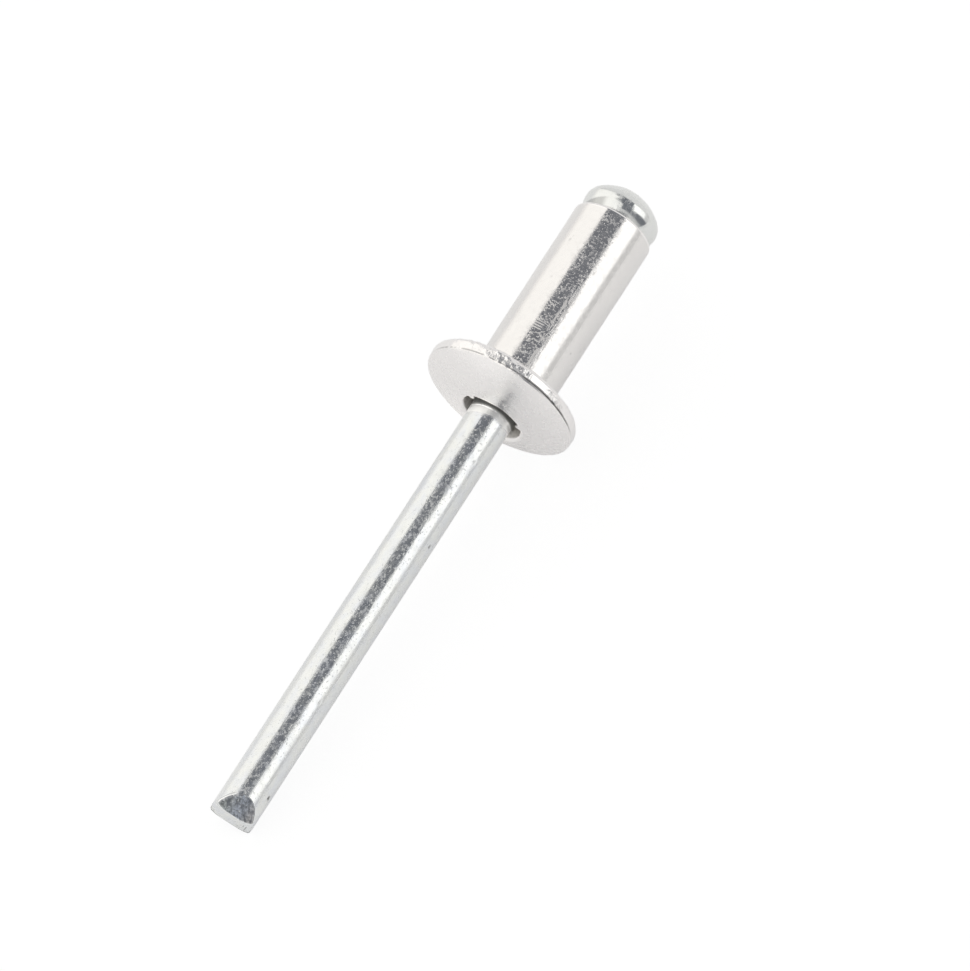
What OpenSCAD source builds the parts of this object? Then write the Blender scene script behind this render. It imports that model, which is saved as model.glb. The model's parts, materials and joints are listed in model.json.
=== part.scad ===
// Open-end blind rivet: a domed aluminium body on a steel mandrel, as sold and not yet set.
// Each piece is drawn on the rivet's own axis, standing on its tail: z = 0 is the underside
// of the flange, the shank and the mandrel's head are below it, the dome and the stem above.
// lay_down() then turns that axis into the pose in which the rivet rests on a table,
// on the rim of its flange and on the tip of its stem. Lengths are in millimetres.

/* [Shank] */
// Diameter of the shank, which goes through the drilled hole
shank_d = 4.8; // [4:0.1:6]
// Length of the shank, from the underside of the flange to the tail
shank_l = 12; // [6:0.5:25]
// Radius of the fillet where the shank meets the flange
root_r = 0.12; // [0.04:0.02:0.2]
// Radius of the tail's outer edge
tail_r = 0.2; // [0.1:0.02:0.3]
// Chamfer of the bore at the tail
tail_chamfer = 0.2; // [0.1:0.02:0.3]

/* [Flange] */
// Diameter of the flange
flange_d = 9.32; // [8:0.02:11]
// Height of the flange's rim, from its underside to the edge of the dome
rim_h = 0.76; // [0.6:0.01:1.2]
// Lean of the rim's wall in towards the dome, from the axis
rim_lean = 4; // [0:1:26]
// Radius of the rim's lower edge
rim_low_r = 0.34; // [0.1:0.02:0.4]
// Radius of the rim's upper edge, where the dome starts
rim_top_r = 0.08; // [0.04:0.01:0.12]
// Rise of the dome from the rim to the point where it would close over the axis
dome_rise = 1.31; // [0.8:0.01:2.2]

/* [Mouth] */
// Distance from the wall of the bore out to the crest of the mouth's rolled lip
mouth_flare = 0.6; // [0.4:0.02:0.8]
// Radius of the rolled lip
lip_r = 0.25; // [0.12:0.01:0.32]
// Slope of the throat under the lip, from the axis
throat_angle = 24; // [20:1:45]

/* [Stem] */
// Diameter of the mandrel's stem
stem_d = 2.64; // [2.2:0.02:2.9]
// Length of the stem, from the underside of the flange to its tip
stem_l = 30.9; // [26:0.1:45]
// Radial clearance between the stem and the bore
stem_clear = 0.12; // [0.06:0.01:0.2]
// Depth of the groove at which the stem snaps when the rivet is set
neck_cut = 0.22; // [0.1:0.01:0.4]
// Distance from the mandrel's head to the middle of that groove
neck_drop = 1.1; // [0.8:0.1:3]
// Included angle of the groove
neck_angle = 90; // [60:5:110]

/* [Mandrel head] */
// Step from the side of the shank in to the side of the mandrel's head
head_step = 0.11; // [0.05:0.01:0.3]
// Height of the head's side, from its underside to where the head is widest
head_side_h = 0.85; // [0.6:0.01:1.2]
// Radius to which that side bulges
head_bulge_r = 1.9; // [1.5:0.1:4]
// Radius of the head's lower edge
head_edge_r = 0.1; // [0.04:0.02:0.16]
// Radius of the head's shoulder
shoulder_r = 0.8; // [0.4:0.02:1]
// Height of the crown above the side
crown_h = 1.43; // [1.1:0.01:1.8]
// Radius of the fillet where the head meets the stem
head_fillet = 0.12; // [0.04:0.02:0.16]

/* [Tip] */
// Angle of the two pinch-cut flats to the axis
cut_angle = 35; // [25:0.5:45]
// Distance from the axis to the edge of the flat that faces up
cut_up = 0.54; // [0.3:0.02:0.8]
// Distance from the axis to the edge of the flat that faces down
cut_down = 0.6; // [0.3:0.02:0.8]
// Radius to which the end between the flats is crowned
tip_crown_r = 5; // [2:0.1:8]
// Turn of the flats round the axis, from straight up
tip_turn = 22; // [0:1:60]

/* [Hidden] */
$fn = 96;

// Steps in each round stretch of an outline
arc_steps = 10;
body_colour = [0.87, 0.86, 0.85];
mandrel_colour = [0.74, 0.75, 0.77];

shank_r = shank_d / 2;
flange_r = flange_d / 2;
stem_r = stem_d / 2;
bore_r = stem_r + stem_clear;

// The rim's wall leans in from its lower round, and meets the dome at this radius
rim_low = [flange_r - rim_low_r, rim_low_r];
rim_wall = on_arc(rim_low, rim_low_r, rim_lean);
rim_edge = rim_wall.x - (rim_h - rim_wall.y) * tan(rim_lean);
// The dome is part of a sphere through that edge
dome_r = (rim_edge * rim_edge + dome_rise * dome_rise) / (2 * dome_rise);
dome_z = rim_h + dome_rise - dome_r;
// The rim's upper round touches the wall and the dome. Its centre is up the line that runs
// inside the wall, from rim_line in the direction wall_way
rim_line = on_arc(rim_low, rim_low_r - rim_top_r, rim_lean);
wall_way = [-sin(rim_lean), cos(rim_lean)];
from_dome = rim_line - [0, dome_z];
rim_rise = leg(dome_r - rim_top_r, cross(wall_way, from_dome)) - from_dome * wall_way;
rim_top = rim_line + rim_rise * wall_way;
rim_top_turn = acos(rim_top.x / (dome_r - rim_top_r));
// The lip's round touches the dome and the throat
lip = [bore_r + mouth_flare, dome_z + leg(dome_r - lip_r, bore_r + mouth_flare)];
lip_turn = acos(lip.x / (dome_r - lip_r));
lip_end = on_arc(lip, lip_r, 180 - throat_angle);
throat_z = lip_end.y - (lip_end.x - bore_r) / tan(throat_angle);

head_r = shank_r - head_step;
head_z = -shank_l;
shoulder = [head_r - shoulder_r, head_z - head_side_h];
// The side is an arc round head_bulge, and the lower edge's round touches it
head_bulge = [head_r - head_bulge_r, shoulder.y];
head_edge_turn = asin((head_side_h - head_edge_r) / (head_bulge_r - head_edge_r));
head_edge = on_arc(head_bulge, head_bulge_r - head_edge_r, head_edge_turn);
// The crown is part of a sphere that runs smoothly into the shoulder
crown_r = (pow(shoulder.x, 2) + crown_h * crown_h - shoulder_r * shoulder_r)
    / (2 * (crown_h - shoulder_r));
crown_z = shoulder.y - crown_h + crown_r;
crown_turn = asin(shoulder.x / (crown_r - shoulder_r));
neck_z = head_z + neck_drop;
neck_half = neck_cut * tan(neck_angle / 2);

// At rest the table touches the rim's lower round and the stem, where the lower flat cuts its lowest line
low_line_end = stem_l - (stem_r * cos(tip_turn) - cut_down) / tan(cut_angle);
rest_run = [low_line_end - rim_low.y, rim_low.x - stem_r];
tilt = atan2(rest_run.y, rest_run.x) + asin(rim_low_r / norm(rest_run));

// The other leg of a right triangle
function leg(hypotenuse, side) = sqrt(hypotenuse * hypotenuse - side * side);
function on_arc(centre, radius, angle) = centre + radius * [cos(angle), sin(angle)];
// Points along an arc, which may run either way
function arc(centre, radius, from, to) =
    [for (i = [0:arc_steps]) on_arc(centre, radius, from + (to - from) * i / arc_steps)];

function body_outline() = concat(
    arc([shank_r - tail_r, tail_r - shank_l], tail_r, -90, 0),
    arc([shank_r + root_r, -root_r], root_r, 180, 90),
    arc(rim_low, rim_low_r, -90, rim_lean),
    arc(rim_top, rim_top_r, rim_lean, rim_top_turn),
    arc([0, dome_z], dome_r, rim_top_turn, lip_turn),
    arc(lip, lip_r, lip_turn, 180 - throat_angle),
    [
        [bore_r, throat_z],
        [bore_r, tail_chamfer - shank_l],
        [bore_r + tail_chamfer, -shank_l]
    ]
);

function mandrel_outline() = concat(
    arc([0, crown_z], crown_r, -90, crown_turn - 90),
    arc(shoulder, shoulder_r, crown_turn - 90, 0),
    arc(head_bulge, head_bulge_r, 0, head_edge_turn),
    arc(head_edge, head_edge_r, head_edge_turn, 90),
    arc([stem_r + head_fillet, head_z + head_fillet], head_fillet, -90, -180),
    [
        [stem_r, neck_z - neck_half],
        [stem_r - neck_cut, neck_z],
        [stem_r, neck_z + neck_half],
        [stem_r, stem_l],
        [0, stem_l]
    ]
);

// What one jaw of the cutter takes off the end, leaving a flat that ends at this distance from the axis
module pinch(edge) {
    reach = 2 * stem_d / tan(cut_angle);
    translate([edge, 0, stem_l])
        rotate([0, -cut_angle, 0])
            translate([0, -stem_d, -reach])
                cube([stem_d, 2 * stem_d, reach + stem_d]);
}

// What is missing outside the crowned end, which bulges along the line of the cut
module outside_crown() {
    difference() {
        translate([-stem_d, -stem_d, stem_l - stem_r])
            cube([2 * stem_d, 2 * stem_d, stem_d]);
        translate([0, 0, stem_l - tip_crown_r])
            rotate([0, 90, 0])
                cylinder(r = tip_crown_r, h = 3 * stem_d, center = true);
    }
}

module tip_cuts() {
    rotate([0, 0, -tip_turn]) {
        pinch(cut_up);
        rotate([0, 0, 180])
            pinch(cut_down);
        outside_crown();
    }
}

// From standing on the tail to lying along X, with the tail at +X and the drawn +X side up
module lay_down() {
    rotate([0, -90 - tilt, 0])
        children();
}

module rivet_body() {
    color(body_colour)
        lay_down()
            rotate_extrude()
                polygon(body_outline());
}

module mandrel() {
    color(mandrel_colour)
        lay_down()
            difference() {
                rotate_extrude()
                    polygon(mandrel_outline());
                tip_cuts();
            }
}

rivet_body();
mandrel();
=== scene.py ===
# Open-end blind rivet on its steel mandrel, lying on a pale table under two soft boxes.
# Each piece is drawn on the rivet's own axis in millimetres, as in the CAD source:
# radius from the axis, and height from the flange's underside, up the dome and the stem,
# with the shank and the mandrel's head below zero. laid_down() puts it in the frame, in metres.
import json
import math

import bpy
import numpy as np
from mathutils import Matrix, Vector


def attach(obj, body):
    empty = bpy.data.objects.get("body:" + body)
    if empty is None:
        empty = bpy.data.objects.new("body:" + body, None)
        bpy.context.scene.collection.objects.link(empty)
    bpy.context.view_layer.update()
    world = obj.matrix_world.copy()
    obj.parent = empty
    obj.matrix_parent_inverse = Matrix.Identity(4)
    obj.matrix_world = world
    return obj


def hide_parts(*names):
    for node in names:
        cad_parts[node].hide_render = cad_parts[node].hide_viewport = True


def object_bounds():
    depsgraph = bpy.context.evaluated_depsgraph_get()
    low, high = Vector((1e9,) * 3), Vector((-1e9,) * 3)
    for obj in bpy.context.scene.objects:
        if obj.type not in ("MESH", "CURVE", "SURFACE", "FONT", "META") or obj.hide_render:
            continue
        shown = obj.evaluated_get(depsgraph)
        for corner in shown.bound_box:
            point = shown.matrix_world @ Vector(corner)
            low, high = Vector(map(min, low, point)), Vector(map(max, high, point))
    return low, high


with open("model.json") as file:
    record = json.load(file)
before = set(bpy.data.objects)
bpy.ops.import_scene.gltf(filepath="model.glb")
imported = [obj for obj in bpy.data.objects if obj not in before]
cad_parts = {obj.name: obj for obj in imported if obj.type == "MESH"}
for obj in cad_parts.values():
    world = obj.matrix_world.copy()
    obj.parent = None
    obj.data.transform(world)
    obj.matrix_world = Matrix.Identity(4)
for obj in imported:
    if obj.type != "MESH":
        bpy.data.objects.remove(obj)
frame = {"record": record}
cad_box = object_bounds()
mounts = {m["name"]: m for m in frame["record"]["mounts"]}

# Sizes of the rivet, in millimetres
MM = 0.001
SHANK_R = mounts["shank"]["dims"]["r_mm"]
STEM_R = mounts["stem"]["dims"]["r_mm"]
FLANGE_R = 4.66
SHANK_L = 12.0
ROOT_R = 0.12
TAIL_R = 0.2
TAIL_CHAMFER = 0.2
RIM_H = 0.82
RIM_LEAN = 4
RIM_LOW_R = 0.34
RIM_TOP_R = 0.08
DOME_RISE = 1.31
MOUTH_FLARE = 0.6
LIP_R = 0.25
THROAT_ANGLE = 24
STEM_L = 30.94
BORE_R = STEM_R + 0.12
HEAD_R = SHANK_R - 0.11
HEAD_SIDE_H = 0.85
HEAD_BULGE_R = 1.5
HEAD_EDGE_R = 0.1
SHOULDER_R = 0.8
CROWN_H = 1.43
HEAD_FILLET = 0.12
NECK_CUT = 0.22
NECK_DROP = 1.1
CUT_ANGLE = 35
CUT_UP = 0.54
CUT_DOWN = 0.6
TIP_CROWN_H = 0.28

# The pose of the rest: the axis of the shank's mount runs to the tail
TAIL_WAY = Vector(mounts["shank"]["axis"])
STEM_WAY = -TAIL_WAY
SIDE_WAY = Vector((0, 1, 0))
TOP_WAY = SIDE_WAY.cross(STEM_WAY)

# The camera's angle to the object, and the turn round the axis that faces it
CAMERA_AZIMUTH = -60.24
CAMERA_ELEVATION = 53.73
NEAR_TURN = -18.7

# How this one differs from the drawing, in degrees and millimetres
FLANGE_SKEW = 0.9
FLANGE_NOD = 1.3
FLANGE_OFFSET = 0.11
FLANGE_DROP = 0.1
CROWN_ASIDE = 0.09
TIP_TWIST = (0.5, -7.0)
TIP_ROWS_L = 1.6
IN_HOLE_H = 1.88

# Steps of the meshes
BODY_SIDES = 288
MANDREL_SIDES = 216


# Noise, the same at each run


def lattice(cell, seed):
    """A fixed number from -1 to 1 for each whole-numbered cell."""
    n = cell[..., 0] * 374761393 + cell[..., 1] * 668265263 + cell[..., 2] * 1274126177
    n = (n + seed * 144665) & 0xFFFFFFFF
    n = ((n ^ (n >> 13)) * 1103515245) & 0xFFFFFFFF
    n = ((n ^ (n >> 16)) * 2246822519) & 0xFFFFFFFF
    return (n ^ (n >> 15)) / 0x7FFFFFFF - 1.0


def noise(points, size, seed=0):
    """Smooth noise from -1 to 1 with lumps of about this size."""
    p = np.asarray(points, float) / size
    cell = np.floor(p).astype(np.int64)
    f = p - cell
    f = f * f * (3 - 2 * f)
    total = np.zeros(p.shape[:-1])
    for corner in np.ndindex(2, 2, 2):
        weight = np.prod(np.where(corner, f, 1 - f), axis=-1)
        total += weight * lattice(cell + np.array(corner), seed)
    return total


def smooth_step(x, low, high):
    t = np.clip((x - low) / (high - low), 0, 1)
    return t * t * (3 - 2 * t)


# Outlines, as points of radius and height


def arc(centre, radius, start, end, steps):
    turn = np.radians(np.linspace(start, end, steps + 1))
    return np.array(centre) + radius * np.column_stack((np.cos(turn), np.sin(turn)))


def line(start, end, steps):
    return np.linspace(start, end, steps + 1)


def joined(stretches):
    """One outline from named stretches, and the name of the stretch for each point."""
    points, names = [], []
    for name, stretch in stretches:
        for p in stretch:
            if points and np.hypot(*(p - points[-1])) < 1e-6:
                continue
            points.append(p)
            names.append(name)
    return np.array(points), np.array(names)


def leg(hypotenuse, side):
    return math.sqrt(hypotenuse * hypotenuse - side * side)


def on_arc(centre, radius, turn):
    a = math.radians(turn)
    return np.array(centre) + radius * np.array((math.cos(a), math.sin(a)))


def body_outline():
    # The rim's wall leans in from its lower round to the edge of the dome
    low = np.array((FLANGE_R - RIM_LOW_R, RIM_LOW_R))
    lean = math.radians(RIM_LEAN)
    wall = on_arc(low, RIM_LOW_R, RIM_LEAN)
    edge = wall[0] - (RIM_H - wall[1]) * math.tan(lean)
    dome_r = (edge**2 + DOME_RISE**2) / (2 * DOME_RISE)
    dome_z = RIM_H + DOME_RISE - dome_r
    # The rim's upper round touches the wall and the dome
    start = on_arc(low, RIM_LOW_R - RIM_TOP_R, RIM_LEAN)
    way = np.array((-math.sin(lean), math.cos(lean)))
    from_dome = start - (0, dome_z)
    aside = way[0] * from_dome[1] - way[1] * from_dome[0]
    top = start + (leg(dome_r - RIM_TOP_R, aside) - from_dome @ way) * way
    top_turn = math.degrees(math.acos(top[0] / (dome_r - RIM_TOP_R)))
    # The lip's round touches the dome and the throat
    lip_x = BORE_R + MOUTH_FLARE
    lip_z = dome_z + leg(dome_r - LIP_R, lip_x)
    lip_turn = math.degrees(math.acos(lip_x / (dome_r - LIP_R)))
    lip = arc((lip_x, lip_z), LIP_R, lip_turn, 180 - THROAT_ANGLE, 14)
    throat_z = lip[-1][1] - (lip[-1][0] - BORE_R) / math.tan(math.radians(THROAT_ANGLE))
    tail_face = BORE_R + TAIL_CHAMFER
    return joined([
        ("tail", line((tail_face, -SHANK_L), (SHANK_R - TAIL_R, -SHANK_L), 4)),
        ("tail", arc((SHANK_R - TAIL_R, TAIL_R - SHANK_L), TAIL_R, -90, 0, 8)),
        ("shank", line((SHANK_R, TAIL_R - SHANK_L), (SHANK_R, -ROOT_R), 168)),
        ("shank", arc((SHANK_R + ROOT_R, -ROOT_R), ROOT_R, 180, 90, 5)),
        ("under", line((SHANK_R + ROOT_R, 0), (low[0], 0), 10)),
        ("rim", arc(low, RIM_LOW_R, -90, RIM_LEAN, 12)),
        ("rim", line(wall, on_arc(top, RIM_TOP_R, RIM_LEAN), 10)),
        ("rim", arc(top, RIM_TOP_R, RIM_LEAN, top_turn, 5)),
        ("dome", arc((0, dome_z), dome_r, top_turn, lip_turn, 52)),
        ("lip", lip),
        ("throat", line(lip[-1], (BORE_R, throat_z), 14)),
        ("bore", line((BORE_R, throat_z), (BORE_R, TAIL_CHAMFER - SHANK_L), 4)),
        ("bore", line((BORE_R, TAIL_CHAMFER - SHANK_L), (tail_face, -SHANK_L), 1)),
    ])


def mandrel_outline():
    head_z = -SHANK_L
    shoulder = np.array((HEAD_R - SHOULDER_R, head_z - HEAD_SIDE_H))
    crown_r = (shoulder[0] ** 2 + CROWN_H**2 - SHOULDER_R**2) / (2 * (CROWN_H - SHOULDER_R))
    crown_z = shoulder[1] - CROWN_H + crown_r
    crown_turn = math.degrees(math.asin(shoulder[0] / (crown_r - SHOULDER_R)))
    bulge = (HEAD_R - HEAD_BULGE_R, shoulder[1])
    edge_turn = math.degrees(math.asin((HEAD_SIDE_H - HEAD_EDGE_R) / (HEAD_BULGE_R - HEAD_EDGE_R)))
    edge = on_arc(bulge, HEAD_BULGE_R - HEAD_EDGE_R, edge_turn)
    fillet = (STEM_R + HEAD_FILLET, head_z + HEAD_FILLET)
    neck_z = head_z + NECK_DROP
    return joined([
        ("head", arc((0, crown_z), crown_r, -90, crown_turn - 90, 26)),
        ("head", arc(shoulder, SHOULDER_R, crown_turn - 90, 0, 20)),
        ("head", arc(bulge, HEAD_BULGE_R, 0, edge_turn, 14)),
        ("head", arc(edge, HEAD_EDGE_R, edge_turn, 90, 5)),
        ("head", arc(fillet, HEAD_FILLET, -90, -180, 3)),
        ("inside", line((STEM_R, neck_z - NECK_CUT), (STEM_R - NECK_CUT, neck_z), 1)),
        ("inside", line((STEM_R - NECK_CUT, neck_z), (STEM_R, neck_z + NECK_CUT), 1)),
        ("inside", line((STEM_R, neck_z + NECK_CUT), (STEM_R, 0.6), 3)),
        ("stem", line((STEM_R, 0.6), (STEM_R, STEM_L - TIP_ROWS_L), 240)),
        ("tip", line((STEM_R, STEM_L - TIP_ROWS_L), (STEM_R, STEM_L), 64)),
    ])


# Meshes, turned round the axis


def laid_down(points):
    """From radius-and-height space, with x up, to the frame in metres."""
    turn = np.array([TOP_WAY, SIDE_WAY, STEM_WAY])
    return np.asarray(points) @ turn * MM


def outward(outline, closed):
    """The outline's own normals, away from the metal."""
    if closed:
        along = np.roll(outline, -1, 0) - np.roll(outline, 1, 0)
    else:
        along = np.gradient(outline, axis=0)
    normal = np.column_stack((along[:, 1], -along[:, 0]))
    return normal / np.linalg.norm(normal, axis=1, keepdims=True)


def ring_grid(outline, sides):
    """Radius, height and turn in degrees at each point of the turned surface."""
    turn = np.arange(sides) * 360.0 / sides
    radius = np.repeat(outline[:, :1], sides, axis=1)
    height = np.repeat(outline[:, 1:], sides, axis=1)
    return radius, height, np.repeat(turn[None, :], len(outline), axis=0)


def placed(radius, height, turn):
    a = np.radians(turn)
    return np.stack((radius * np.cos(a), radius * np.sin(a), height), axis=-1)


def from_near(turn):
    """Degrees round the axis from the line that faces the camera, positive to the picture's lower right."""
    return (NEAR_TURN - turn + 180) % 360 - 180


def facing_band(near):
    """The band along the rivet that faces the camera and mirrors the gap between the lights."""
    return smooth_step(near, -25, -15) * smooth_step(near, 15, 6)


def sideways():
    """Unit vector across the axis to the picture's lower right, and the one that faces the camera."""
    a = math.radians(NEAR_TURN)
    return np.array((math.sin(a), -math.cos(a), 0)), np.array((math.cos(a), math.sin(a), 0))


def dents(radius, height, turn, marks):
    """Depth of small round dents. Each mark is its place on the surface, its size and its depth."""
    depth = np.zeros_like(radius)
    here = placed(radius, height, from_near(turn))
    for mark_radius, mark_height, mark_turn, size, mark_depth in marks:
        there = placed(mark_radius, mark_height, mark_turn)
        away = np.linalg.norm(here - there, axis=-1)
        depth += mark_depth * np.exp(-((away / size) ** 2))
    return depth


def grid_faces(rows, sides, closed):
    last = rows if closed else rows - 1
    i, j = np.meshgrid(np.arange(last), np.arange(sides), indexing="ij")
    a = i * sides + j
    b = i * sides + (j + 1) % sides
    c = ((i + 1) % rows) * sides + (j + 1) % sides
    d = ((i + 1) % rows) * sides + j
    return np.stack((a, b, c, d), axis=-1).reshape(-1, 4)


def new_piece(name, vertices, faces, attributes):
    mesh = bpy.data.meshes.new(name)
    mesh.from_pydata(laid_down(vertices).tolist(), [], faces)
    for key, values in attributes.items():
        layer = mesh.attributes.new(key, "FLOAT", "POINT")
        layer.data.foreach_set("value", np.asarray(values, np.float32).ravel())
    mesh.shade_smooth()
    mesh.update()
    piece = bpy.data.objects.new(name, mesh)
    bpy.context.scene.collection.objects.link(piece)
    return piece


# Small dents and nicks, and bumps of less than no depth:
# radius, height, degrees from the line that faces the camera, size, depth
DOME_MARKS = (
    (2.8, 1.61, -60, 0.09, 0.03),
    (2.75, 1.6, -12, 0.09, 0.03),
    (2.35, 1.75, 7, 0.065, -0.06),
    (2.0, 1.82, 17, 0.05, -0.03),
    (2.0, 1.82, 27, 0.05, -0.03),
    (2.06, 1.82, -60, 0.08, -0.08),
    (2.06, 1.82, 59, 0.08, -0.1),
    (2.55, 1.69, 43, 0.05, -0.025),
    (2.45, 1.72, 63, 0.08, 0.03),
    (3.3, 1.4, -42, 0.1, 0.02),
    (3.0, 1.5, -75, 0.09, 0.02),
    (2.9, 1.55, 62, 0.1, 0.02),
    (3.2, 1.42, 48, 0.06, 0.02),
    (4.15, 0.97, 71, 0.12, 0.03),
    (3.6, 1.27, 36, 0.08, 0.018),
    (3.7, 1.2, -22, 0.09, 0.015),
)
SHANK_MARKS = (
    (SHANK_R, -6.6, -37, 0.11, 0.02),
    (SHANK_R, -9.25, -45, 0.12, 0.025),
    (SHANK_R, -9.5, -43, 0.07, 0.02),
    (SHANK_R, -3.4, 49, 0.09, 0.03),
    (SHANK_R, -4.1, 66, 0.08, 0.03),
    (SHANK_R, -8.2, 55, 0.08, 0.015),
)
# Spots in the mouth left free of the painted shade as glints, with a share of it instead of a depth
UNSHADED_SPOTS = (
    (1.84, 1.73, -60, 0.12, 1.3),
    (1.84, 1.73, 61, 0.14, 1.3),
)
STEM_MARKS = (
    (STEM_R, 28.95, 61, 0.12, 0.07),
    (STEM_R, 28.9, -7, 0.07, 0.03),
    (STEM_R, 22.6, 30, 0.1, 0.02),
    (STEM_R, 11.3, -30, 0.09, 0.015),
    (STEM_R, 10.85, 53, 0.1, 0.05),
    (STEM_R, 5.92, -57, 0.08, 0.03),
    (STEM_R, 5.2, 28, 0.1, 0.02),
)


def in_pit(depth):
    """How much a dent of this depth is darkened."""
    return smooth_step(depth, 0.004, 0.05)


def make_rivet_body():
    outline, names = body_outline()
    normal = outward(outline, closed=True)
    radius, height, turn = base = ring_grid(outline, BODY_SIDES)
    at = placed(radius, height, turn)
    near = from_near(turn)
    zone = {key: (names == key).astype(float)[:, None] for key in set(names)}
    full = np.ones_like(radius)

    # The cold-formed rim is lumpy, most of all to the upper side of the line that faces the camera
    upper = smooth_step(near, -80, -28) * smooth_step(near, 9, 4)
    lower = smooth_step(near, 21, 27) * smooth_step(near, 70, 50)
    rougher = np.maximum(upper, 0.6 * lower)
    lumps = 0.012 * noise(at, 0.5, 1) + (0.01 + 0.03 * rougher) * noise(at, 0.24, 2)
    window = smooth_step(near, 5, 9) * smooth_step(near, 30, 22)
    push = zone["rim"] * (lumps * (1 - 0.7 * window) - 0.02)
    # A groove runs under the dome's edge, ragged at first and then sharp
    groove = np.exp(-(((height - (RIM_H - 0.05)) / 0.04) ** 2)) * zone["rim"]
    ragged = smooth_step(near, -88, -60) * smooth_step(near, 6, 2) * smooth_step(noise(at, 0.25, 5), -0.3, 0.2)
    sharp = smooth_step(near, 1, 8) * smooth_step(near, 76, 40) * smooth_step(noise(at, 0.3, 7), -0.9, -0.3)
    crease = groove * (sharp + 0.4 * ragged)
    push = push - 0.05 * crease
    # Soft waves from forming, then the dents
    push = push + (0.003 * zone["dome"] + 0.007 * zone["shank"]) * noise(at, 1.1, 4)
    dent = (zone["dome"] + zone["lip"]) * dents(radius, height, turn, DOME_MARKS)
    dent = dent + zone["shank"] * dents(radius, height, turn, SHANK_MARKS)
    push = push - dent
    radius = radius + push * normal[:, :1]
    height = height + push * normal[:, 1:]

    # The mouth's lip is flared wide on the lower side and rolled in on the near side
    mouth = smooth_step(radius, 2.7, 2.0) * smooth_step(height, 0.7, 1.4)
    rolled = 0.3 * np.exp(-(((near + 16) / 38) ** 2)) + 0.12 * np.exp(-(((near - 34) / 22) ** 2))
    # with a tooth at each end of the part rolled in
    rolled = rolled + 0.24 * np.exp(-(((near + 60) / 4) ** 2)) + 0.28 * np.exp(-(((near - 61) / 4.5) ** 2))
    rolled = rolled + 0.014 * noise(at, 0.22, 6)
    radius = radius + mouth * (0.02 * np.exp(-(((near - 88) / 35) ** 2)) - rolled)
    raised = 0.04 * smooth_step(radius, 3.2, 2.0) * smooth_step(height, 0.7, 1.4)
    height = height + raised + mouth * 0.05 * np.exp(-(((near - 105) / 30) ** 2))

    # The flange is a little out of square with the shank, and a little off its centre
    at = placed(radius, height, turn)
    aside, nearer = sideways()
    flange = smooth_step(height, -0.5, 0.1)
    lift = at @ aside * math.tan(math.radians(FLANGE_SKEW)) + at @ nearer * math.tan(math.radians(FLANGE_NOD))
    at[..., 2] += flange * (lift - FLANGE_DROP)
    at -= (FLANGE_OFFSET * flange * smooth_step(radius, 2.6, 4.2))[..., None] * aside

    faces = grid_faces(len(outline), BODY_SIDES, closed=True).tolist()
    lip_inside = zone["lip"] * smooth_step(normal[:, :1] * full, -0.7, -0.95)
    # The painted shade in the throat is lighter at its upper end on the lower side
    less_shaded = smooth_step(height, 1.36, 1.5) * np.exp(-(((near - 114) / 26) ** 2))
    unshaded = np.clip(dents(*base, UNSHADED_SPOTS), 0, 1)
    streaked = smooth_step(near, -3, 1) * smooth_step(near, 12, 8)
    streaked = streaked * smooth_step(height, -7.2, -5.5) * smooth_step(height, -0.4, -1.2)
    ticked = smooth_step(near, -21, -17) * smooth_step(near, -6, -9)
    ticked = ticked * smooth_step(height, -3.85, -3.7) * smooth_step(height, -3.1, -3.22)
    attributes = {
        "dome": (zone["dome"] + 0.4 * zone["lip"]) * full,
        "rim": zone["rim"] * (0.25 + 0.75 * rougher),
        "shank": zone["shank"] * full,
        # Painted shade inside the mouth and bore, lighter on the lower side and left off at the glint spots
        "inside": ((zone["throat"] + zone["bore"]) * full + lip_inside) * (1 - 0.25 * less_shaded) * (1 - unshaded),
        # Painted shade in the groove under the dome's edge, and darkened dents
        "dirt_and_shade": np.clip(1.7 * crease, 0, 1) + 0.5 * in_pit(dent) * (1 - crease),
        "speckled": zone["shank"] * (0.1 + 0.9 * facing_band(near)),
        "streaked": zone["shank"] * streaked,
        "ticked": zone["shank"] * ticked,
    }
    return new_piece("rivet_body_finish", at.reshape(-1, 3), faces, attributes)


def tip_cut(turn, height, radius):
    """Radius left by the two pinch-cut faces at this height, which twist a little along the cut."""
    depth = STEM_L - height
    facing = np.radians(turn - (NEAR_TURN + TIP_TWIST[0] + TIP_TWIST[1] * np.clip(depth, 0, 1.2)))
    across = np.cos(facing)
    edge = np.where(across > 0, CUT_UP, CUT_DOWN)
    flat = (edge + depth * math.tan(math.radians(CUT_ANGLE))) / np.maximum(np.abs(across), 0.05)
    return np.minimum(radius, flat), facing


def end_height(x, y):
    """Height of the crowned end between the cuts, which falls off towards its two corners."""
    a = math.radians(NEAR_TURN)
    side = -x * math.sin(a) + y * math.cos(a)
    return STEM_L - TIP_CROWN_H * (side / STEM_R) ** 4


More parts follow.
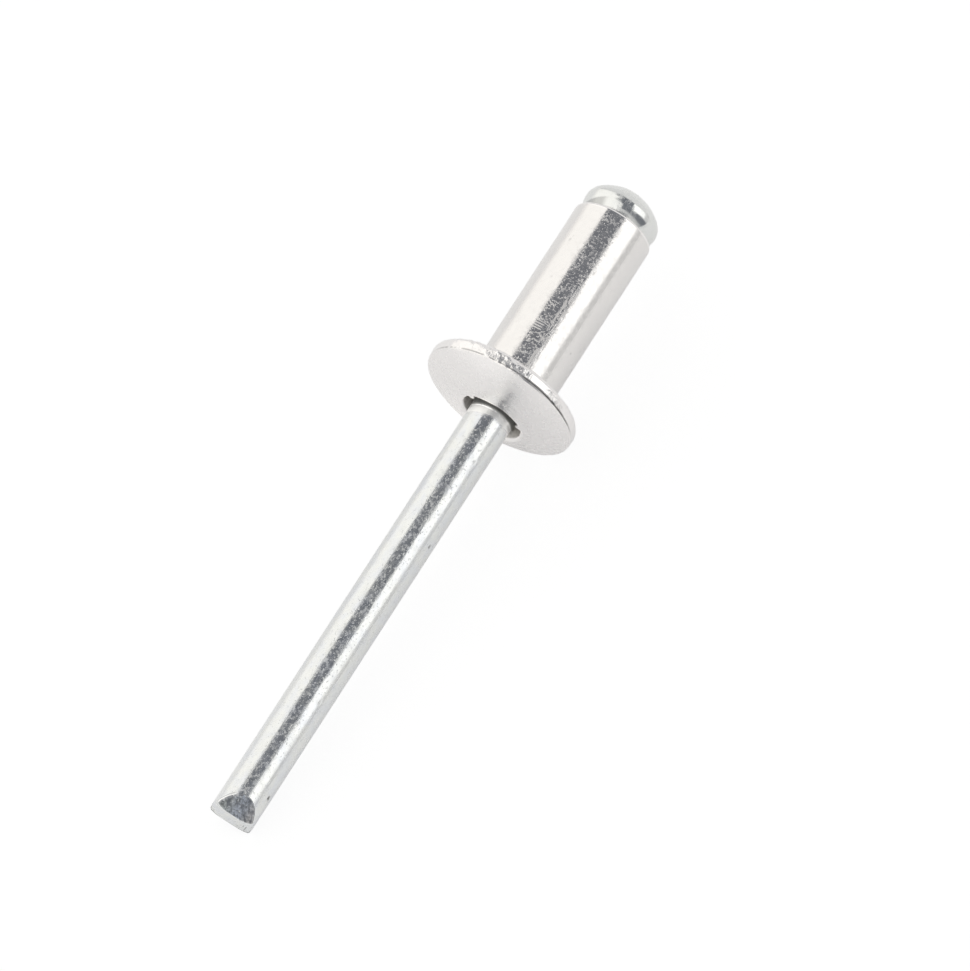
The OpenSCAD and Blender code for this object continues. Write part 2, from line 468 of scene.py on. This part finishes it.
def make_mandrel():
    outline, names = mandrel_outline()
    normal = outward(outline, closed=False)
    radius, height, turn = ring_grid(outline, MANDREL_SIDES)
    at = placed(radius, height, turn)
    full = np.ones_like(radius)
    stem = np.isin(names, ["stem", "tip"]).astype(float)[:, None]
    head = (names == "head")[:, None] * full

    # Drawn wire and an upset head are never quite true
    push = stem * 0.0025 * noise(at * [1, 1, 0.3], 0.5, 11)
    push = push + head * (0.008 * noise(at, 0.8, 12) - 0.006)
    dent = stem * dents(radius, height, turn, STEM_MARKS)
    # A forming line runs part of the way round the head, above its lower edge
    near = from_near(turn)
    line_at = -12.38 - 0.01 * (near + 56)
    drawn_line = np.exp(-(((height - line_at) / 0.06) ** 2)) * smooth_step(near, -72, -56) * smooth_step(near, -4, -24)
    push = push - dent - head * 0.03 * drawn_line
    # Painted shade along part of the forming line, and painted shadow on the head's edge next to the shank's tail
    head_shade = 0.4 * smooth_step(near, -29, -40) * smooth_step(height, line_at - 0.04, line_at + 0.04)
    low_edge = np.exp(-(((height + SHANK_L + 0.04) / 0.045) ** 2)) * smooth_step(near, -50, -30)
    head_shade = head * np.maximum(head_shade, 0.6 * low_edge * smooth_step(near, 34, 12))
    radius = radius + push * normal[:, :1]
    height = height + push * normal[:, 1:]

    # The tip's rows are drawn towards the crowned end, and the cuts taken off them
    tip = (names == "tip")[:, None]
    start = STEM_L - TIP_ROWS_L
    share = np.where(tip, (height - start) / TIP_ROWS_L, 0)
    whole, straight = radius.copy(), height.copy()
    for _ in range(5):
        radius, facing = tip_cut(turn, height, whole)
        radius = np.where(tip, radius, whole)
        x, y = radius * np.cos(np.radians(turn)), radius * np.sin(np.radians(turn))
        height = np.where(tip, start + share * (end_height(x, y) - start), straight)
    cut = np.where(tip, smooth_step(whole - radius, 0.004, 0.02), 0)
    # A burr stands up along the upper edge of the near cut, with a painted shadow line behind it
    uncut = np.where(tip, tip_cut(turn, height, 9)[0] - whole, 1)
    upper = smooth_step(near, -11, -21) * smooth_step(near, -90, -70)
    burr = np.exp(-(((uncut + 0.05) / 0.075) ** 2)) * upper
    shadow_behind = np.exp(-(((uncut - 0.12) / 0.05) ** 2)) * upper * smooth_step(near, -21, -30)
    radius = radius + np.where(tip, 0.04 * burr, 0)
    cut = cut * (1 - smooth_step(burr, 0.2, 0.7))

    rows = placed(radius, height, turn)
    # The cutter has squeezed the end wider between the cuts
    aside, nearer = sideways()
    squeezed = np.where(tip, smooth_step(height, STEM_L - 0.5, STEM_L - 0.1), 0)
    wider = 0.1 * squeezed * np.clip(-(rows @ nearer) / CUT_DOWN, 0, 1) ** 2
    rows += (wider * (rows @ aside))[..., None] * aside
    lean = CROWN_ASIDE * smooth_step(-height, SHANK_L + 0.7, SHANK_L + 2.2)
    rows -= lean[..., None] * sideways()[0]
    # The end between the cuts is closed by rings that shrink to the middle
    rings = 16
    end = [rows[-1] * [1 - k / rings, 1 - k / rings, 1] for k in range(1, rings)]
    for ring in end:
        ring[:, 2] = end_height(ring[:, 0], ring[:, 1])
    vertices = np.vstack([rows[1:].reshape(-1, 3), *end, [[0, 0, outline[0][1]], [0, 0, STEM_L]]])
    row_count = len(outline) - 1 + len(end)
    faces = grid_faces(row_count, MANDREL_SIDES, closed=False).tolist()
    bottom, top, last = len(vertices) - 2, len(vertices) - 1, (row_count - 1) * MANDREL_SIDES
    for j in range(MANDREL_SIDES):
        k = (j + 1) % MANDREL_SIDES
        faces.append((bottom, k, j))
        faces.append((last + j, last + k, top))

    def values(on_rows, on_end, at_bottom, at_top):
        ends = np.full(len(end) * MANDREL_SIDES, float(on_end))
        return np.concatenate(((on_rows * full)[1:].ravel(), ends, [at_bottom, at_top]))

    # The stem inside the mouth is painted in shade
    in_hole = smooth_step(height, IN_HOLE_H + 0.03, IN_HOLE_H - 0.04) * stem
    attributes = {
        "cut": values(cut, 0, 0, 0),
        "land": values(0, 1, 0, 1),
        "head": values(head, 0, 1, 0),
        "inside": values(in_hole + (names == "inside")[:, None], 0, 0, 0),
        # Darkened dents, painted shade on the head and a painted shadow behind the burr
        "dirt_and_shade": values(in_pit(dent) + head_shade + 0.5 * shadow_behind, 0, 0, 0),
        "burr": values(np.where(tip, burr, 0), 0, 0, 0),
        "facing": values(facing_band(near), 0, 0, 0),
    }
    return new_piece("mandrel_finish", vertices, faces, attributes)


# Materials


class Nodes:
    """Short hand for building a node tree."""

    def __init__(self, tree):
        self.tree = tree

    def add(self, kind, **settings):
        node = self.tree.nodes.new(kind)
        for key, value in settings.items():
            setattr(node, key, value)
        return node

    def link(self, source, target):
        self.tree.links.new(source, target)

    def put(self, socket, value):
        if isinstance(value, bpy.types.NodeSocket):
            self.link(value, socket)
        else:
            socket.default_value = value

    def maths(self, operation, *values):
        node = self.add("ShaderNodeMath", operation=operation)
        for socket, value in zip(node.inputs, values):
            self.put(socket, value)
        return node.outputs[0]

    def ramp(self, value, low, high, out_low=0.0, out_high=1.0):
        node = self.add("ShaderNodeMapRange", interpolation_type="SMOOTHSTEP")
        for socket, v in zip(node.inputs, (value, low, high, out_low, out_high)):
            self.put(socket, v)
        return node.outputs[0]

    def attribute(self, name):
        return self.add("ShaderNodeAttribute", attribute_name=name).outputs["Fac"]

    def noise(self, where, scale, detail=2.0, roughness=0.5):
        node = self.add("ShaderNodeTexNoise")
        self.put(node.inputs["Vector"], where)
        node.inputs["Scale"].default_value = scale
        node.inputs["Detail"].default_value = detail
        node.inputs["Roughness"].default_value = roughness
        return node.outputs["Fac"]

    def bump(self, height, distance, strength=1.0, normal=None):
        node = self.add("ShaderNodeBump")
        self.put(node.inputs["Strength"], strength)
        node.inputs["Distance"].default_value = distance
        self.put(node.inputs["Height"], height)
        if normal is not None:
            self.put(node.inputs["Normal"], normal)
        return node.outputs["Normal"]

    def mix_colour(self, factor, a, b):
        node = self.add("ShaderNodeMix", data_type="RGBA")
        self.put(node.inputs[0], factor)
        self.put(node.inputs[6], a)
        self.put(node.inputs[7], b)
        return node.outputs[2]

    def pale_shader(self, white, glow):
        diffuse = self.add("ShaderNodeBsdfDiffuse")
        diffuse.inputs["Color"].default_value = (white, white, white, 1)
        emission = self.add("ShaderNodeEmission")
        self.put(emission.inputs["Strength"], glow)
        both = self.add("ShaderNodeAddShader")
        self.link(diffuse.outputs[0], both.inputs[0])
        self.link(emission.outputs[0], both.inputs[1])
        return both.outputs[0]

    def parts(self, vector):
        node = self.add("ShaderNodeSeparateXYZ")
        self.link(vector, node.inputs[0])
        return node.outputs

    def stretched(self, vector, scale):
        node = self.add("ShaderNodeVectorMath", operation="MULTIPLY")
        self.link(vector, node.inputs[0])
        node.inputs[1].default_value = scale
        return node.outputs[0]

    def along_ways(self, vector, ways):
        """The vector's parts along three ways, each multiplied by the way's length."""
        joined_up = self.add("ShaderNodeCombineXYZ")
        for way, socket in zip(ways, joined_up.inputs):
            dot = self.add("ShaderNodeVectorMath", operation="DOT_PRODUCT")
            self.link(vector, dot.inputs[0])
            dot.inputs[1].default_value = way
            self.link(dot.outputs["Value"], socket)
        return joined_up.outputs[0]

    def along_axis(self):
        """Position in millimetres on the rivet's own axes, which lie tilted in the frame."""
        where = self.add("ShaderNodeTexCoord").outputs["Object"]
        return self.along_ways(where, [way / MM for way in (TOP_WAY, SIDE_WAY, STEM_WAY)])


def new_metal(name):
    material = bpy.data.materials.new(name)
    material.use_nodes = True
    shader = material.node_tree.nodes["Principled BSDF"]
    shader.inputs["Metallic"].default_value = 1.0
    return material, shader, Nodes(material.node_tree)


def aluminium():
    material, shader, n = new_metal("formed_aluminium")
    where = n.along_axis()
    dome, rim, shank = n.attribute("dome"), n.attribute("rim"), n.attribute("shank")
    inside, dirt_and_shade = n.attribute("inside"), n.attribute("dirt_and_shade")

    # Clean metal with a faint bloom, a little darker on the shank, darkened dents, painted shade in the groove under
    # the dome's edge and painted shade inside the hole
    bloom = n.noise(where, 0.9, 3)
    colour = n.mix_colour(bloom, (0.91, 0.888, 0.882, 1), (0.95, 0.928, 0.92, 1))
    drawn = n.mix_colour(bloom, (0.815, 0.795, 0.785, 1), (0.865, 0.845, 0.83, 1))
    colour = n.mix_colour(shank, colour, drawn)
    colour = n.mix_colour(dirt_and_shade, colour, (0.08, 0.075, 0.07, 1))
    # Painted shade inside the hole, patchy
    hole_shade = n.maths("MULTIPLY", inside, n.ramp(n.noise(where, 3.5, 3), 0.35, 0.65, 0.95, 0.65))
    n.put(shader.inputs["Base Color"], n.mix_colour(hole_shade, colour, (0.48, 0.465, 0.44, 1)))

    # Ticks round the shank, crowded towards the flange, with fine dull specks among them
    x, y, height = n.parts(where)
    crowded = n.ramp(height, -10.5, -2.0, 0.5, 1.0)
    clumps = n.ramp(n.noise(where, 1.8, 2, 0.5), 0.3, 0.7, -0.05, 0.05)
    ticks = n.ramp(n.noise(n.stretched(where, (3.5, 3.5, 12.0)), 1.0, 2, 0.6), 0.56, 0.68)
    specks = n.ramp(n.maths("ADD", n.noise(where, 7.5, 2, 0.55), clumps), 0.56, 0.64)
    marks = n.maths("MAXIMUM", n.maths("MULTIPLY", ticks, 0.8), specks)
    ticked = n.attribute("ticked")
    speckled = n.maths("SUBTRACT", n.attribute("speckled"), ticked)
    marks = n.maths("MULTIPLY", marks, n.maths("MULTIPLY", crowded, speckled))
    streaks = n.ramp(n.noise(n.stretched(where, (11.0, 11.0, 1.6)), 1.0, 2, 0.5), 0.47, 0.58)
    marks = n.maths("MAXIMUM", marks, n.maths("MULTIPLY", streaks, n.attribute("streaked")))
    comb = n.ramp(n.maths("SINE", n.maths("MULTIPLY", height, 38.0)), -0.1, 0.5)
    marks = n.maths("MAXIMUM", marks, n.maths("MULTIPLY", comb, ticked))

    # Satin on the dome, bright and drawn on the shank
    rough = n.ramp(n.noise(where, 2.2, 3, 0.6), 0.3, 0.7, 0.08, 0.14)
    rough = n.maths("ADD", rough, n.maths("MULTIPLY_ADD", dome, 0.17, n.maths("MULTIPLY", rim, 0.1)))
    dulled = n.maths("MULTIPLY", n.ramp(n.noise(where, 3.0, 2, 0.5), 0.4, 0.65, 0.0, 0.12), shank)
    rough = n.maths("MULTIPLY_ADD", marks, 0.5, n.maths("ADD", rough, dulled))
    n.put(shader.inputs["Roughness"], n.maths("MULTIPLY_ADD", inside, 0.3, rough))

    # A fine grain on the dome and a coarse one on the rim
    grain = n.noise(where, 11.0, 2, 0.6)
    lumps = n.noise(where, 4.5, 3, 0.6)
    surface = n.bump(marks, 0.000005)
    surface = n.bump(grain, 0.00001, n.maths("MULTIPLY_ADD", dome, 0.1, 0.04), surface)
    surface = n.bump(lumps, 0.00006, n.maths("MULTIPLY", rim, 0.9), surface)
    n.put(shader.inputs["Normal"], surface)
    return material


def zinc_steel():
    material, shader, n = new_metal("bright_zinc_steel")
    where = n.along_axis()
    cut, land, head = n.attribute("cut"), n.attribute("land"), n.attribute("head")
    inside, dirt_and_shade = n.attribute("inside"), n.attribute("dirt_and_shade")
    height = n.parts(where)[2]
    facing = n.attribute("facing")

    # The cutter's scratches run slanting down the cut faces
    aside, nearer = (Vector(way) for way in sideways())
    side = n.parts(n.along_ways(where, (aside, aside, aside)))[0]
    along = -0.58 * aside - 0.81 * Vector((0, 0, 1))
    across = 0.81 * aside - 0.58 * Vector((0, 0, 1))
    slanting = n.along_ways(where, (2.2 * along, 15.0 * across, 3.0 * nearer))
    scratches = n.ramp(n.noise(slanting, 1.0, 3, 0.7), 0.6, 0.72)
    gouges = n.ramp(n.noise(slanting, 0.6, 2, 0.5), 0.42, 0.32)

    # The collar next to the mouth is painted pale as the dome's reflection on it, and made dull, further up on the
    # upper side
    slanted = n.maths("SUBTRACT", n.maths("MULTIPLY_ADD", side, 0.14, height), n.ramp(side, 0.25, 0.5, 0.0, 0.15))
    collar_reflection = n.ramp(slanted, 2.36, 2.28)
    collar_reflection = n.maths("MULTIPLY", collar_reflection, n.ramp(height, 1.0, 1.8))

    # and a painted highlight line where the lip bears on it
    edge_highlight = n.maths("MULTIPLY", n.ramp(height, 2.0, 1.97), n.ramp(height, 1.9, 1.93))
    edge_highlight = n.maths("MULTIPLY", edge_highlight, n.maths("MULTIPLY", n.ramp(side, 0.2, -0.1), n.ramp(side, -1.25, -1.1)))

    # Zinc with a faint blue tint in patches, bare grey steel on the cuts
    tint = n.ramp(n.noise(n.stretched(where, (1.6, 1.6, 0.9)), 1.0, 3, 0.6), 0.35, 0.7)
    tint = n.maths("MULTIPLY", tint, n.maths("MULTIPLY_ADD", head, -0.8, 1.0))
    # Painted highlight: the burr and the line where the lip bears are made white
    white = n.maths("MAXIMUM", n.attribute("burr"), edge_highlight)
    colour = n.mix_colour(tint, (0.815, 0.82, 0.805, 1), (0.77, 0.785, 0.81, 1))
    colour = n.mix_colour(collar_reflection, colour, (0.97, 0.97, 0.955, 1))
    colour = n.mix_colour(white, colour, (1.0, 1.0, 0.99, 1))
    colour = n.mix_colour(dirt_and_shade, colour, (0.16, 0.155, 0.15, 1))
    middle = n.mix_colour(n.ramp(side, -0.9, 0.1), (0.6, 0.63, 0.62, 1), (0.57, 0.61, 0.69, 1))
    middle = n.mix_colour(n.ramp(side, 0.2, 1.0), middle, (0.69, 0.67, 0.665, 1))
    bare = n.ramp(n.noise(where, 5.0, 4, 0.75), 0.38, 0.6)
    bare = n.mix_colour(bare, n.mix_colour(0.75, middle, (0.16, 0.17, 0.18, 1)), middle)
    # Pale specks on the cut faces are painted highlights
    pale = n.ramp(n.noise(where, 5.5, 2, 0.5), 0.61, 0.69)
    bare = n.mix_colour(n.maths("MAXIMUM", n.maths("MULTIPLY", scratches, 0.7), pale), bare, (0.85, 0.86, 0.87, 1))
    bare = n.mix_colour(n.maths("MULTIPLY", gouges, 0.7), bare, (0.2, 0.21, 0.24, 1))
    colour = n.mix_colour(cut, colour, bare)
    # The land between the cuts is scored at its lower end
    scored = n.maths("MULTIPLY", n.maths("MULTIPLY", land, n.ramp(side, 0.2, 0.6)), gouges)
    colour = n.mix_colour(scored, colour, (0.42, 0.42, 0.42, 1))
    # Painted shade on the stem inside the mouth
    n.put(shader.inputs["Base Color"], n.mix_colour(inside, colour, (0.34, 0.34, 0.33, 1)))

    # Bright and dull patches, drawn out along the wire
    patchy = n.noise(n.stretched(where, (3.0, 3.0, 1.4)), 1.0, 4, 0.65)
    rough = n.ramp(patchy, 0.3, 0.68, 0.12, 0.3)
    rough = n.maths("MULTIPLY", rough, n.ramp(height, 2.4, 4.2, 0.6, 1.0))
    rough = n.maths("MULTIPLY", rough, n.maths("MULTIPLY_ADD", head, -0.5, 1.0))
    hazy = n.ramp(n.noise(n.stretched(where, (6.0, 6.0, 4.2)), 1.0, 2, 0.6), 0.5, 0.62)
    rough = n.maths("MULTIPLY_ADD", n.maths("MULTIPLY", hazy, facing), 0.2, rough)
    soft = n.ramp(n.noise(where, 2.6, 2, 0.5), 0.35, 0.65, 0.04, 0.19)
    rough = n.maths("MULTIPLY_ADD", soft, head, rough)
    rough = n.maths("MULTIPLY_ADD", n.maths("SUBTRACT", collar_reflection, edge_highlight), 0.24, rough)
    rough = n.maths("MULTIPLY_ADD", n.attribute("burr"), 0.12, rough)
    rough = n.maths("MULTIPLY_ADD", cut, 0.22, rough)
    n.put(shader.inputs["Roughness"], n.maths("MULTIPLY_ADD", inside, 0.3, rough))

    # Drawing lines along the stem, a few specks, and scratches across the cut faces
    lines = n.noise(n.stretched(where, (12.0, 12.0, 1.2)), 1.0, 2, 0.5)
    specks = n.ramp(n.noise(where, 7.5, 2, 0.5), 0.6, 0.74)
    plain = n.maths("SUBTRACT", 1.0, n.maths("MAXIMUM", head, n.maths("MAXIMUM", cut, land)))
    surface = n.bump(lines, 0.000006, n.maths("MULTIPLY", plain, 0.5))
    surface = n.bump(specks, 0.00001, n.maths("MULTIPLY", plain, 0.8), surface)
    torn = n.maths("MULTIPLY_ADD", cut, 0.8, n.maths("MULTIPLY", land, 0.25))
    surface = n.bump(scratches, 0.00002, torn, surface)
    surface = n.bump(n.ramp(height, 1.99, 1.93), 0.00002, 1.0, surface)
    n.put(shader.inputs["Normal"], surface)
    return material


# Floor, light and camera


def make_floor():
    size = 3.0
    z = cad_box[0].z
    mesh = bpy.data.meshes.new("table_top")
    corners = [(-size, -size, z), (size, -size, z), (size, size, z), (-size, size, z)]
    mesh.from_pydata(corners, [], [(0, 1, 2, 3)])
    floor = bpy.data.objects.new("table_top", mesh)
    bpy.context.scene.collection.objects.link(floor)

    material = bpy.data.materials.new("white_table")
    material.use_nodes = True
    n = Nodes(material.node_tree)
    material.node_tree.nodes.remove(material.node_tree.nodes["Principled BSDF"])
    path = n.add("ShaderNodeLightPath")
    mirrored = n.maths("MAXIMUM", path.outputs["Is Glossy Ray"], path.outputs["Is Transmission Ray"])
    # The table mirrors a little brighter beyond the stem, most of all on the first box's side
    x, y, z = n.parts(n.add("ShaderNodeTexCoord").outputs["Object"])
    brighter = n.maths("MULTIPLY", n.ramp(x, -0.012, -0.03), n.ramp(y, -0.02, 0.02, 0.03, 0.09))
    glow = n.maths("ADD", brighter, FLOOR_GLOW_IN_METAL)
    lights = n.pale_shader(0.86, n.maths("MULTIPLY", mirrored, glow))
    looks = n.pale_shader(0.15, FLOOR_GLOW)
    both = n.add("ShaderNodeMixShader")
    n.link(path.outputs["Is Camera Ray"], both.inputs[0])
    n.link(lights, both.inputs[1])
    n.link(looks, both.inputs[2])
    n.link(both.outputs[0], material.node_tree.nodes["Material Output"].inputs["Surface"])
    mesh.materials.append(material)
    return floor


# Light as strengths, where 1 is white
FLOOR_GLOW = 0.9
FLOOR_GLOW_IN_METAL = 0.2
GAP_LIGHT = (0.185, 0.194, 0.214, 1)
LEFT_LIGHT = (1.13, 1.12, 1.085, 1)
LEFT_FOOT_LIGHT = (0.93, 0.92, 0.895, 1)
RIGHT_LIGHT = (1.3, 1.3, 1.28, 1)
WALL_LIGHT = (0.66, 0.66, 0.655, 1)
TAIL_WALL_LIGHT = (0.8, 0.8, 0.795, 1)


def make_world():
    """Two soft boxes overhead with a dark gap between them towards the camera, and a pale wall all round.

    Edges are set on the sky seen from above, where x and y are level parts of the direction.
    """
    world = bpy.data.worlds.new("studio")
    bpy.context.scene.world = world
    world.use_nodes = True
    n = Nodes(world.node_tree)
    background = world.node_tree.nodes["Background"]
    x, y, z = n.parts(n.add("ShaderNodeTexCoord").outputs["Generated"])
    # The first box lies beyond an edge that bends round above the camera
    bend = n.maths("ADD", n.ramp(x, -0.1, 0.14, -0.06, 0.24), n.ramp(x, 0.1, 0.4, 0.0, 0.13))
    first = n.ramp(n.maths("SUBTRACT", y, bend), -0.03, 0.03)
    # The second lies low on the other side
    edge = n.maths("MULTIPLY_ADD", x, 0.28, -0.58)
    second = n.ramp(n.maths("SUBTRACT", edge, y), -0.02, 0.02)
    beside = n.maths("MAXIMUM", n.maths("SUBTRACT", -0.6, y), 0.0)
    beside = n.maths("MULTIPLY_ADD", beside, -0.55, x)
    second = n.maths("MULTIPLY", second, n.ramp(beside, -0.12, -0.05))
    left = n.mix_colour(n.ramp(z, 0.0, 0.26), LEFT_FOOT_LIGHT, LEFT_LIGHT)
    light = n.mix_colour(first, GAP_LIGHT, left)
    light = n.mix_colour(second, light, RIGHT_LIGHT)
    low = n.maths("MULTIPLY", n.ramp(z, 0.35, 0.2), n.ramp(y, -0.2, -0.35))
    low = n.maths("MULTIPLY", low, n.ramp(beside, -0.2, -0.05))
    aside = n.maths("MULTIPLY", n.ramp(x, -0.36, -0.42), n.ramp(y, -0.5, -0.56))
    # A lit stretch crosses the gap beside the camera
    bridge = n.maths("MULTIPLY", n.ramp(x, -0.37, -0.41), n.ramp(x, -0.62, -0.56))
    aside = n.maths("MAXIMUM", aside, n.maths("MULTIPLY", bridge, n.ramp(y, 0.0, -0.08)))
    wall = n.maths("MAXIMUM", n.maths("MAXIMUM", low, aside), n.ramp(x, 0.5, 0.62))
    wall_light = n.mix_colour(n.ramp(x, 0.55, 0.75), WALL_LIGHT, TAIL_WALL_LIGHT)
    light = n.mix_colour(wall, light, wall_light)
    seen = n.add("ShaderNodeLightPath").outputs["Is Camera Ray"]
    n.link(n.mix_colour(seen, light, (1, 1, 1, 1)), background.inputs["Color"])


# The photograph, in pixels: where the flange's underside meets the axis, and its scale
FRAME_SIZE = (970, 971)
ORIGIN_PX = (506.4, 392.3)
PX_PER_MM = 18.0
CAMERA_LENS = 1600.0
SENSOR = 36.0


def make_camera():
    data = bpy.data.cameras.new("camera")
    data.lens = CAMERA_LENS
    data.sensor_width = SENSOR
    camera = bpy.data.objects.new("camera", data)
    bpy.context.scene.collection.objects.link(camera)
    a, e = math.radians(CAMERA_AZIMUTH), math.radians(CAMERA_ELEVATION)
    back = Vector((math.sin(a) * math.cos(e), -math.cos(a) * math.cos(e), math.sin(e)))
    right = Vector((math.cos(a), math.sin(a), 0))
    up = back.cross(right)
    centre_x = ((FRAME_SIZE[0] - 1) / 2 - ORIGIN_PX[0]) / PX_PER_MM * MM
    centre_y = (ORIGIN_PX[1] - (FRAME_SIZE[1] - 1) / 2) / PX_PER_MM * MM
    target = right * centre_x + up * centre_y
    view_width = max(FRAME_SIZE) / PX_PER_MM * MM
    distance = view_width * CAMERA_LENS / SENSOR
    camera.location = target + back * distance
    camera.rotation_mode = "QUATERNION"
    camera.rotation_quaternion = (-back).to_track_quat("-Z", "Y")
    data.clip_start, data.clip_end = 0.01, 10.0
    bpy.context.scene.camera = camera


make_camera()
body = make_rivet_body()
body.data.materials.append(aluminium())
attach(body, "root")
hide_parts("rivet_body")

mandrel = make_mandrel()
mandrel.data.materials.append(zinc_steel())
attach(mandrel, "root")
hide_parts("mandrel")

make_floor()
make_world()
bpy.context.scene.view_settings.view_transform = "Standard"
